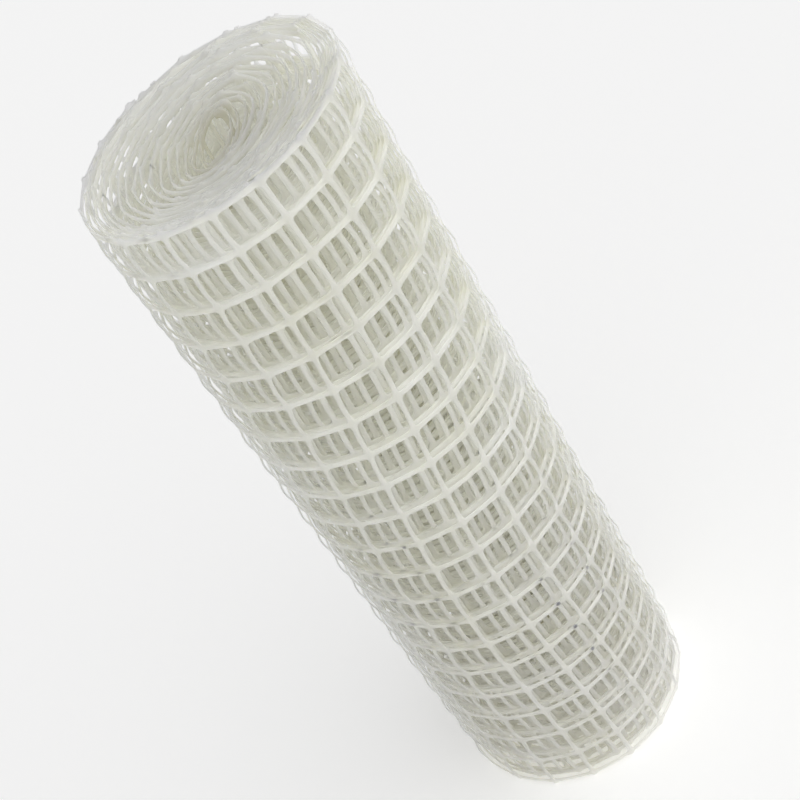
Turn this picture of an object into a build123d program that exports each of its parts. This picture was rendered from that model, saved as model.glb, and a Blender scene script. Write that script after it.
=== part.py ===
from build123d import *
import os
from math import pi

# Roll of extruded plastic netting, wound on itself with no core tube, standing on one end.
# +Z runs up the roll, and the origin is the middle of the bottom end. Sizes are in mm.

# The net as it is made
net_width = 1000
net_length = 10000
net_thickness = 3

# The roll as it is wound. Its turns show at each end to this depth.
roll_radius = 160
bore_radius = 22
turn_end_depth = 12

# Most of the wound thickness is the air between one turn and the next
mean_turn_length = pi * (roll_radius + bore_radius)
turn_count = round(net_length / mean_turn_length)
turn_spacing = (roll_radius - bore_radius - net_thickness) / (turn_count - 1)
gap_width = turn_spacing - net_thickness


def wound_section():
    """Half section of the roll, right of its axis, with the gaps between turns open at both ends."""
    mean_radius = (roll_radius + bore_radius) / 2
    section = Pos(mean_radius, net_width / 2) * Rectangle(roll_radius - bore_radius, net_width)
    gap = Rectangle(gap_width, 2 * turn_end_depth)
    for turn in range(1, turn_count):
        turn_inside = bore_radius + turn * turn_spacing
        for end_height in (0, net_width):
            section -= Pos(turn_inside - gap_width / 2, end_height) * gap
    return section


def netting_roll():
    """The whole roll, its half section turned about Z."""
    return revolve(Plane.XZ * wound_section(), Axis.Z)


os.makedirs("parts", exist_ok=True)
export_step(netting_roll(), "parts/netting_roll.step")
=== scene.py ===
import math

import bmesh
import bpy
from mathutils import Matrix, Vector, noise


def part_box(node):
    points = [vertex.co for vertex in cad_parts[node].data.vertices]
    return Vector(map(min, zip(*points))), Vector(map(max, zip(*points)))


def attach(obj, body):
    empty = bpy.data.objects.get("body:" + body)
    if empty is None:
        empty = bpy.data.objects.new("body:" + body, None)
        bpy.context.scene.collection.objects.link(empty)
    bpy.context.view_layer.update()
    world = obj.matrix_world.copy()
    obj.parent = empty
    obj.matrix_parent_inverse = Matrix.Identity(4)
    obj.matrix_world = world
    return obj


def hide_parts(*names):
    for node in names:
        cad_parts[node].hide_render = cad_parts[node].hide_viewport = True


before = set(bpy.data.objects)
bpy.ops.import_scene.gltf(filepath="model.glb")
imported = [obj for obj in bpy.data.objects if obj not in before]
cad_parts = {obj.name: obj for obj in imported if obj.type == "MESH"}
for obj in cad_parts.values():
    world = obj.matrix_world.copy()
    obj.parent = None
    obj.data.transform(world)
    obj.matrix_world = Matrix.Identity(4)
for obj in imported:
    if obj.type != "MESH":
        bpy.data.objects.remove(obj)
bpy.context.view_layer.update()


# ---- The net as it is extruded ------------------------------------------------------------------
# One flat sheet of polyethylene strands at right angles, extruded in one piece, so each crossing is a
# solid joint with a small web in its corners. Long strands run the length of the net and cross strands
# its width. Here x runs along the net from its outer end, y across it and z through it, in metres.

roll_low, roll_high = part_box("netting_roll")
net_width = roll_high.z - roll_low.z
row_count = 20
row_pitch = 0.0494
selvedge = (net_width - row_count * row_pitch) / 2
cell_length = 0.0556
long_strand_width = 0.0074
cross_strand_width = 0.0061
strand_thickness = 0.0026
web_reach = 0.0042
web_size = 0.0011
long_spans = 2
touching = 0.00001


def strand_lines(first, last, pitch, width, spans, before, after):
    """Grid lines about strands first to last, each with its side of a strand: -1, 1, or 0 for neither."""
    lines = [(first * pitch - before, 0)]
    for number in range(first, last + 1):
        middle = number * pitch
        lines += [(middle - width / 2, -1), (middle + width / 2, 1)]
        if number < last:
            open_width = pitch - width - 2 * web_reach
            reach = middle + width / 2 + web_reach
            lines += [(reach + open_width * part / spans, 0) for part in range(spans + 1)]
    return lines + [(last * pitch + after, 0)]


def flat_net(first, last, cross_spans, before, after):
    """A flat length of net with cross strands first to last, cut that far before and after them."""
    along = strand_lines(first, last, cell_length, cross_strand_width, long_spans, before, after)
    across = strand_lines(0, row_count, row_pitch, long_strand_width, cross_spans, selvedge, selvedge)
    columns, rows = len(along) - 1, len(across) - 1
    net = bmesh.new()
    bmesh.ops.create_grid(net, x_segments=columns, y_segments=rows, size=0.5)

    # The unit grid is stretched until its lines fall on the edges of the strands, and the windows go
    windows = []
    for face in net.faces:
        middle = face.calc_center_median()
        beside_cross = along[int((middle.x + 0.5) * columns)][1] != -1
        beside_long = across[int((middle.y + 0.5) * rows)][1] != -1
        if beside_cross and beside_long:
            windows.append(face)
    for vert in net.verts:
        x, x_side = along[round((vert.co.x + 0.5) * columns)]
        y, y_side = across[round((vert.co.y + 0.5) * rows)]
        if x_side and y_side:
            x, y = x + x_side * web_size, y + y_side * web_size
        vert.co = x, y, 0
    bmesh.ops.delete(net, geom=windows, context="FACES")
    bmesh.ops.solidify(net, geom=net.faces[:], thickness=strand_thickness)
    bmesh.ops.translate(net, verts=net.verts[:], vec=(0, 0, strand_thickness / 2))

    # Cut ends stay flat and sharp when the strands are rounded
    crease = net.edges.layers.float.new("crease_edge")
    cuts_along = along[0][0], along[-1][0]
    cuts_across = across[0][0], across[-1][0]
    for face in net.faces:
        face.smooth = True
        middle = face.calc_center_median()
        gaps = [abs(middle.x - cut) for cut in cuts_along] + [abs(middle.y - cut) for cut in cuts_across]
        if min(gaps) < touching:
            for edge in face.edges:
                edge[crease] = 1
                edge.smooth = False
    return net


# ---- The winding --------------------------------------------------------------------------------
# The net is wound on itself by hand round an open eye, with no core tube. The outer turns are drawn
# close together, most of all at the front, and the turns further in lie looser and stand lower.
# Between two long strands the cross strands arch outwards, and no turn is quite round or level.

outer_radius = 0.1605
turn_spacing = 0.00775
stretch_length = 3.8
stretch = 0.0035
strand_total = 180
facing_strand = 8
facing_angle = math.radians(271.5)

# The turns press outwards on each other, less so behind, and the eye lies towards the front
front = math.radians(270)
press_rise = 0.0033
press_most = 0.028
press_lost_behind = 0.28
press_lost_from = 0.5
eye_shift = 0.008
straightness = 0.2
tightest_bend = 0.04
arch_height = 0.0045
arch_lost_inside = 0.6
out_of_round = 0.002
slack_behind = 0.002

# A cross strand leans in a slow wave down the roll, and the outer turns fan apart
lean_size = 0.0116
lean_wave = 0.9
lean_crest = 0.15
lean_drift = 0.0035
fan = -0.004
fan_turns = 5

# Turns stand lower towards the middle and differ in height, and the rim is higher on the right
middle_drop = 0.016
drop_curve = 1.5
short_turn = 0.0065
short_turn_beat = 0.263
top_unevenness = 0.005
low_unevenness = 0.007
strand_unevenness = 0.002
rim_rise = 0.017
rim_rise_angle = math.radians(15)
rim_rise_behind = 0.006

# How fast each unevenness changes, by the turn inwards, round the roll, down it or by the metre of net
sway_by_turn = 0.25
sway_round = 1.4
sway_down = 3
slack_by_turn = 0.9
slack_round = 1.1
slack_start = 20
lean_by_turn = 1.1
lean_down = 2.5
lean_start = 3
edge_by_turn = 1.7
edge_down = 1.5
ripple_by_metre = 9
ripple_by_strand = 3.3
ripple_start = 0.5


def turn_radius(turns_in):
    """Mean radius that many turns in from the outer end."""
    return outer_radius - turn_spacing * turns_in


def turns_at(length):
    """Turns in from the outer end at a length along the net, whose stretch grows over its first metres."""
    near = min(length, stretch_length)
    length += stretch * near * (2 * length - near)
    half_growth = math.pi * turn_spacing
    circle = math.tau * outer_radius
    return (circle - math.sqrt(circle ** 2 - 4 * half_growth * length)) / (2 * half_growth)


turn_total = turns_at(strand_total * cell_length)
outer_end_angle = facing_angle - math.tau * turns_at(facing_strand * cell_length)


def wander(size, *course):
    """A smooth unevenness of up to about that size either way, which changes as the course goes on."""
    return size * noise.noise(course)


def leaned(turns_in, depth):
    """Turns in from the outer end, after a cross strand's lean down the roll."""
    lean = lean_size * math.cos(math.tau * (depth * net_width - lean_crest) / lean_wave)
    lean += wander(lean_drift, lean_by_turn * turns_in, lean_down * depth, lean_start)
    lean += fan * min(turns_in, fan_turns) * depth
    return turns_in + lean / (math.tau * turn_radius(turns_in))


def out_from_axis(flat, turns_in, share_in, angle, depth):
    """How far a point of the net is from the axis of the roll."""
    behind = (1 - math.cos(angle - front)) / 2
    press = min(press_rise * max(0, turns_in), press_most * (1 - share_in))
    lost = press_lost_behind * min(1, share_in / press_lost_from)
    radius = turn_radius(turns_in) + press * (1 - lost * behind ** 3)
    radius += eye_shift * share_in * math.cos(angle - front)

    # Long strands run a little straighter than the round from one cross strand to the next
    past_strand = flat.x / cell_length % 1
    half_cell_angle = cell_length / 2 / max(radius, tightest_bend)
    radius -= straightness * radius * (1 - math.cos(half_cell_angle)) * math.sin(math.pi * past_strand)

    row = flat.y / row_pitch
    arch = math.sin(math.pi * row) ** 2 if 0 <= row <= row_count else 0
    bulge = arch_height * arch * (1 - arch_lost_inside * share_in)
    across, forward = math.cos(angle), math.sin(angle)
    inward = sway_down * depth + sway_by_turn * turns_in
    bulge += wander(out_of_round, sway_round * across, sway_round * forward, inward)
    inward = slack_by_turn * turns_in + slack_start
    bulge += wander(slack_behind * behind, slack_round * across, slack_round * forward, inward)
    return radius + (bulge + flat.z)


def up_from_floor(flat, turns_in, share_in, angle, depth):
    """How high a point of the net stands."""
    drop = middle_drop * share_in ** drop_curve
    shorter = drop / net_width + short_turn * (1 - math.cos(math.tau * short_turn_beat * turns_in))
    height = net_width - drop - depth * net_width * (1 - shorter)

    # The top edge is uneven and stands higher on one side, and both die away towards the floor
    unevenness = top_unevenness + low_unevenness * depth
    uneven = wander(unevenness, edge_by_turn * turns_in, edge_down * depth, 0)
    long_strand = round(flat.y / row_pitch)
    ripple = ripple_by_metre * flat.x, ripple_by_strand * long_strand, ripple_start
    uneven += wander(strand_unevenness, *ripple)
    height += (1 - depth ** 4) * uneven
    behind = (1 - math.cos(angle - front)) / 2
    rise = rim_rise * math.cos(angle - rim_rise_angle) + rim_rise_behind * behind ** 2
    return max(0, height + (1 - depth) ** 2 * rise)


def wound(flat):
    """Where a point of the flat net lies in the roll."""
    depth = 1 - (flat.y + selvedge) / net_width
    turns_in = leaned(turns_at(flat.x), depth)
    share_in = max(0, turns_in / turn_total)
    angle = outer_end_angle + math.tau * turns_in
    radius = out_from_axis(flat, turns_in, share_in, angle, depth)
    height = up_from_floor(flat, turns_in, share_in, angle, depth)
    return Vector((radius * math.cos(angle), radius * math.sin(angle), roll_low.z + height))


# ---- The plastic --------------------------------------------------------------------------------
# Unpigmented high-density polyethylene: off-white and so milky that light goes on from strand to
# strand. Its tone is a little cloudy, with painted shade that makes it darker and yellower round the eye
# and a little darker low down, and its dull skin is finely uneven from the die.

glow_depth = 0.09
glow_reach = (1.0, 1.0, 0.85)
plastic_ior = 1.5
yellower = (0.965, 0.962, 0.885, 1)
whiter = (0.99, 0.991, 0.967, 1)
clouds_per_metre = 10
cloud_detail = 4
cloud_edges = (0.3, 0.7)
# The eye tint, over its radius from the axis, paints shade that is darker and yellower round the eye
eye_shade_tint = (0.5, 0.45, 0.2, 1)
eye_shade_radius = 0.055
# The low tint, over its reach up from the floor, paints shade that darkens the roll towards the bottom
low_shade_tint = (0.93, 0.925, 0.92, 1)
low_shade_reach = 0.6
grain_per_metre = 420
grain_detail = 3
grain_height = 0.0006
grain_strength = 0.25
dullest = 0.6
glossiest = 0.38


def netting_plastic():
    """The finish of the strands."""
    material = bpy.data.materials.new("milky_polyethylene")
    material.use_nodes = True
    nodes, links = material.node_tree.nodes, material.node_tree.links
    shader = nodes["Principled BSDF"]
    shader.inputs["Subsurface Weight"].default_value = 1
    shader.inputs["Subsurface Radius"].default_value = glow_reach
    shader.inputs["Subsurface Scale"].default_value = glow_depth
    shader.inputs["IOR"].default_value = plastic_ior
    place = nodes.new("ShaderNodeTexCoord")

    # The cloudy tone
    cloud = nodes.new("ShaderNodeTexNoise")
    cloud.inputs["Scale"].default_value = clouds_per_metre
    cloud.inputs["Detail"].default_value = cloud_detail
    tone = nodes.new("ShaderNodeValToRGB")
    tone.color_ramp.elements[0].position = cloud_edges[0]
    tone.color_ramp.elements[0].color = yellower
    tone.color_ramp.elements[1].position = cloud_edges[1]
    tone.color_ramp.elements[1].color = whiter
    links.new(place.outputs["Object"], cloud.inputs["Vector"])
    links.new(cloud.outputs["Fac"], tone.inputs["Fac"])

    # Painted shade round the eye: the tone is darkened and yellowed towards the axis, where the eye lies
    # deep
    near_axis = nodes.new("ShaderNodeMapping")
    near_axis.inputs["Scale"].default_value = (1 / eye_shade_radius, 1 / eye_shade_radius, 0)
    eye = nodes.new("ShaderNodeTexGradient")
    eye.gradient_type = "SPHERICAL"
    eye_shade = nodes.new("ShaderNodeMix")
    eye_shade.data_type = "RGBA"
    eye_shade.blend_type = "MULTIPLY"
    eye_shade.inputs["B"].default_value = eye_shade_tint
    links.new(place.outputs["Object"], near_axis.inputs["Vector"])
    links.new(near_axis.outputs["Vector"], eye.inputs["Vector"])
    links.new(eye.outputs["Fac"], eye_shade.inputs["Factor"])
    links.new(tone.outputs["Color"], eye_shade.inputs["A"])

    # Painted shade low down: the tone grows a little darker towards the floor
    upward = nodes.new("ShaderNodeSeparateXYZ")
    low_down = nodes.new("ShaderNodeMapRange")
    low_down.inputs["From Min"].default_value = low_shade_reach
    low_down.inputs["From Max"].default_value = 0
    low_shade = nodes.new("ShaderNodeMix")
    low_shade.data_type = "RGBA"
    low_shade.blend_type = "MULTIPLY"
    low_shade.inputs["B"].default_value = low_shade_tint
    links.new(place.outputs["Object"], upward.inputs["Vector"])
    links.new(upward.outputs["Z"], low_down.inputs["Value"])
    links.new(low_down.outputs["Result"], low_shade.inputs["Factor"])
    links.new(eye_shade.outputs["Result"], low_shade.inputs["A"])
    links.new(low_shade.outputs["Result"], shader.inputs["Base Color"])

    # The skin from the die
    skin = nodes.new("ShaderNodeTexNoise")
    skin.inputs["Scale"].default_value = grain_per_metre
    skin.inputs["Detail"].default_value = grain_detail
    gloss = nodes.new("ShaderNodeMapRange")
    gloss.inputs["To Min"].default_value = glossiest
    gloss.inputs["To Max"].default_value = dullest
    bump = nodes.new("ShaderNodeBump")
    bump.inputs["Strength"].default_value = grain_strength
    bump.inputs["Distance"].default_value = grain_height
    links.new(place.outputs["Object"], skin.inputs["Vector"])
    links.new(skin.outputs["Fac"], gloss.inputs["Value"])
    links.new(gloss.outputs["Result"], shader.inputs["Roughness"])
    links.new(skin.outputs["Fac"], bump.inputs["Height"])
    links.new(bump.outputs["Normal"], shader.inputs["Normal"])
    return material


# ---- The wound net ------------------------------------------------------------------------------
# The whole net is one sheet. Its mesh is made in six lengths that meet in the middle of a cell, from
# the loose outer end to the eye. A length has its first and last cross strand and the number of steps
# that a cross strand takes from one long strand to the next, which is more where it is seen best.

cut_stub = 0.011
lengths = [
    ("netting_outer_end", 0, 24, 2),
    ("netting_outer_turns", 25, 48, 2),
    ("netting_middle_turns", 49, 80, 1),
    ("netting_deep_turns", 81, 112, 1),
    ("netting_inner_turns", 113, 144, 1),
    ("netting_eye_turns", 145, strand_total, 1),
]
plastic = netting_plastic()
for name, first, last, cross_spans in lengths:
    before = cut_stub if first == 0 else cell_length / 2
    after = cut_stub if last == strand_total else cell_length / 2
    net = flat_net(first, last, cross_spans, before, after)
    for vert in net.verts:
        vert.co = wound(vert.co)
    net.normal_update()
    mesh = bpy.data.meshes.new(name)
    net.to_mesh(mesh)
    net.free()
    mesh.materials.append(plastic)
    piece = bpy.data.objects.new(name, mesh)
    bpy.context.scene.collection.objects.link(piece)
    rounding = piece.modifiers.new("rounding", "SUBSURF")
    rounding.levels = rounding.render_levels = 1
    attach(piece, "root")
    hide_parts("netting_roll")


# ---- The floor ----------------------------------------------------------------------------------
# A plain pale floor that the roll stands on. It glows a little, as a lit studio sweep does, so that it
# stays almost white.

floor_size = 30
floor_white = (0.9, 0.9, 0.9, 1)
floor_roughness = 0.9
floor_glow = 0.25

bpy.ops.mesh.primitive_plane_add(size=floor_size)
floor = bpy.context.object
floor.name = "floor"
floor_paint = bpy.data.materials.new("floor_paint")
floor_paint.use_nodes = True
floor_shader = floor_paint.node_tree.nodes["Principled BSDF"]
floor_shader.inputs["Base Color"].default_value = floor_white
floor_shader.inputs["Roughness"].default_value = floor_roughness
floor_shader.inputs["Emission Color"].default_value = (1, 1, 1, 1)
floor_shader.inputs["Emission Strength"].default_value = floor_glow
floor.data.materials.append(floor_paint)


# ---- The light ----------------------------------------------------------------------------------
# An even pale room, with one very broad soft light in it. The light is brightest to the front and right
# of the roll and somewhat above it, and fades into the even light of the room behind it.

room_light = 0.35
light_from = (0.70, -0.75, 0.39)

world = bpy.data.worlds.new("soft_room")
bpy.context.scene.world = world
world.use_nodes = True
nodes, links = world.node_tree.nodes, world.node_tree.links
outlook = nodes.new("ShaderNodeTexCoord")
toward_light = nodes.new("ShaderNodeVectorMath")
toward_light.operation = "DOT_PRODUCT"
toward_light.inputs[1].default_value = light_from
front_only = nodes.new("ShaderNodeMath")
front_only.operation = "MAXIMUM"
front_only.inputs[1].default_value = 0
with_room = nodes.new("ShaderNodeMath")
with_room.operation = "ADD"
with_room.inputs[1].default_value = room_light
links.new(outlook.outputs["Generated"], toward_light.inputs[0])
links.new(toward_light.outputs["Value"], front_only.inputs[0])
links.new(front_only.outputs["Value"], with_room.inputs[0])
links.new(with_room.outputs["Value"], nodes["Background"].inputs["Strength"])
nodes["Background"].inputs["Color"].default_value = (1, 1, 1, 1)
bpy.context.scene.view_settings.view_transform = "Standard"

# Light goes from strand to strand many times before it leaves the roll
bpy.context.scene.cycles.max_bounces = 20
bpy.context.scene.cycles.diffuse_bounces = 14


# ---- The camera ---------------------------------------------------------------------------------
# It looks down on the roll from the front with its head tilted, so the top end is at the upper left.

lens_length = 68.6
film_width = 36
look_aside = math.radians(-0.45)
look_down = math.radians(36.14)
head_tilt = math.radians(-32.95)
diameters_away = 4.535
diameters_above = 1.983

diameter = roll_high.x - roll_low.x
camera = bpy.data.cameras.new("camera")
camera.lens = lens_length
camera.sensor_width = film_width
viewer = bpy.data.objects.new("camera", camera)
turned = Matrix.Rotation(look_aside, 4, "Z")
pitched = Matrix.Rotation(math.radians(90) - look_down, 4, "X")
tilted = Matrix.Rotation(head_tilt, 4, "Z")
eye_point = Matrix.Translation((0, -diameters_away * diameter, roll_high.z + diameters_above * diameter))
viewer.matrix_world = eye_point @ turned @ pitched @ tilted
bpy.context.scene.collection.objects.link(viewer)
bpy.context.scene.camera = viewer
